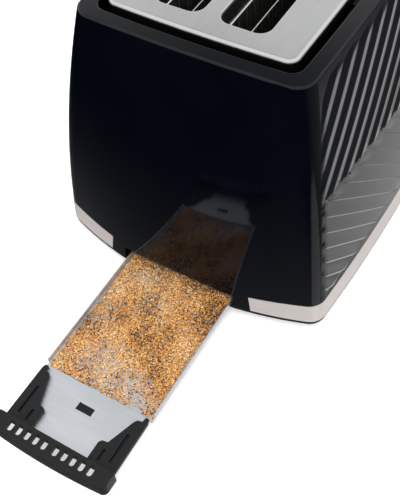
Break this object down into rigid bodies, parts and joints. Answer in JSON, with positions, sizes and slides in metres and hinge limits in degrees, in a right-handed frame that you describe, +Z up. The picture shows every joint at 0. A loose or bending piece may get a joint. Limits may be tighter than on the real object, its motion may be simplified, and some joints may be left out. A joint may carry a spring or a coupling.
{
  "type": "pop up toaster",
  "caption": "Pop up toaster with two long bread slots, a lift lever, a browning dial, push buttons and a crumb tray that slides out of the end",
  "frame": {"origin": "on the table surface, under the middle of the body, not counting the pulled out crumb tray", "axes": "+Z up; +Y towards the end that the crumb tray slides out of, with the lift lever and the controls at -Y; X across the body, which is symmetric about X = 0"},
  "size_m": [0.195, 0.4336, 0.1769],
  "materials": {
    "gloss_black": "high gloss moulded black",
    "satin_black": "fine satin moulded black",
    "rose_metal": "fine brushed rose grey, satin",
    "brushed_steel": "fine brushed, satin",
    "foot_rubber": "matt",
    "screw_steel": "bright zinc",
    "plated_steel": "zinc plated sheet",
    "chrome_wire": "polished wire",
    "mica": "flaky mica sheet",
    "heater_alloy": "oxidised ribbon",
    "board": "paper laminate circuit board",
    "dark_component": "satin",
    "coil_copper": "enamelled copper winding",
    "core_iron": "laminated iron",
    "pointer_white": "satin inlay"
  },
  "bodies": {
    "housing": {"base": "satin_black", "cancel_switch": "dark_component", "centre_heater_card": "mica", "control_board": "board", "cord_gland": "satin_black", "dial_potentiometer": "dark_component", "front_end_plate": "plated_steel", "front_left_foot": "foot_rubber", "front_left_screw": "screw_steel", "front_plate_clip": "plated_steel", "front_right_foot": "foot_rubber", "front_right_screw": "screw_steel", "frozen_switch": "dark_component", "guide_rod": "plated_steel", "left_accent_strip": "rose_metal", "left_heat_shield": "plated_steel", "left_heater_card": "mica", "left_inner_ribbon": "heater_alloy", "left_outer_ribbon": "heater_alloy", "left_plate_clip": "plated_steel", "left_tray_rail": "plated_steel", "magnet_bracket": "plated_steel", "magnet_coil": "coil_copper", "magnet_core": "core_iron", "rear_end_plate": "plated_steel", "rear_left_foot": "foot_rubber", "rear_left_screw": "screw_steel", "rear_plate_clip": "plated_steel", "rear_right_foot": "foot_rubber", "rear_right_screw": "screw_steel", "reheat_switch": "dark_component", "right_accent_strip": "rose_metal", "right_heat_shield": "plated_steel", "right_heater_card": "mica", "right_inner_ribbon": "heater_alloy", "right_outer_ribbon": "heater_alloy", "right_plate_clip": "plated_steel", "right_tray_rail": "plated_steel", "rod_bracket": "plated_steel", "shell": "gloss_black", "top_plate": "brushed_steel"},
    "carriage": {"carriage_bracket": "plated_steel", "armature": "plated_steel", "lever_knob": "gloss_black", "left_bread_lifter": "plated_steel", "right_bread_lifter": "plated_steel", "lift_spring": "plated_steel"},
    "tray": {"crumb_tray": "brushed_steel", "tray_handle": "satin_black", "tray_latch_pad": "satin_black"},
    "dial": {"browning_dial": "gloss_black", "dial_pointer": "pointer_white"},
    "cancel": {"cancel_button": "satin_black"},
    "reheat": {"reheat_button": "satin_black"},
    "frozen": {"frozen_button": "satin_black"},
    "left_inner_guide": {"left_inner_guide": "chrome_wire"},
    "left_outer_guide": {"left_outer_guide": "chrome_wire"},
    "right_inner_guide": {"right_inner_guide": "chrome_wire"},
    "right_outer_guide": {"right_outer_guide": "chrome_wire"}
  },
  "joints": [
    {"name": "lever_slide", "type": "slide", "parent": "housing", "child": "carriage", "axis": [0, 0, -1], "range_m": [0, 0.048], "stiffness_N_per_m": 300, "springref_m": -0.03, "deforming": ["lift_spring"]},
    {"name": "browning_turn", "type": "hinge", "parent": "housing", "child": "dial", "pos_m": [0, -0.1366, 0.05], "axis": [0, -1, 0], "range_deg": [-135, 135]},
    {"name": "tray_slide", "type": "slide", "parent": "housing", "child": "tray", "axis": [0, 1, 0], "range_m": [-0.136, 0.045]},
    {"name": "cancel_press", "type": "slide", "parent": "housing", "child": "cancel", "axis": [0, 1, 0], "range_m": [0, 0.0016], "stiffness_N_per_m": 300, "springref_m": -0.002},
    {"name": "reheat_press", "type": "slide", "parent": "housing", "child": "reheat", "axis": [0, 1, 0], "range_m": [0, 0.0016], "stiffness_N_per_m": 300, "springref_m": -0.002},
    {"name": "frozen_press", "type": "slide", "parent": "housing", "child": "frozen", "axis": [0, 1, 0], "range_m": [0, 0.0016], "stiffness_N_per_m": 300, "springref_m": -0.002},
    {"name": "left_inner_guide_shift", "type": "slide", "parent": "housing", "child": "left_inner_guide", "axis": [1, 0, 0], "range_m": [0, 0.0034]},
    {"name": "left_outer_guide_shift", "type": "slide", "parent": "housing", "child": "left_outer_guide", "axis": [-1, 0, 0], "range_m": [0, 0.0034]},
    {"name": "right_inner_guide_shift", "type": "slide", "parent": "housing", "child": "right_inner_guide", "axis": [-1, 0, 0], "range_m": [0, 0.0034]},
    {"name": "right_outer_guide_shift", "type": "slide", "parent": "housing", "child": "right_outer_guide", "axis": [1, 0, 0], "range_m": [0, 0.0034]}
  ],
  "couplings": [
    {"joint": "left_inner_guide_shift", "follows": "lever_slide", "ratio": 0.07},
    {"joint": "left_outer_guide_shift", "follows": "lever_slide", "ratio": 0.07},
    {"joint": "right_inner_guide_shift", "follows": "lever_slide", "ratio": 0.07},
    {"joint": "right_outer_guide_shift", "follows": "lever_slide", "ratio": 0.07}
  ]
}
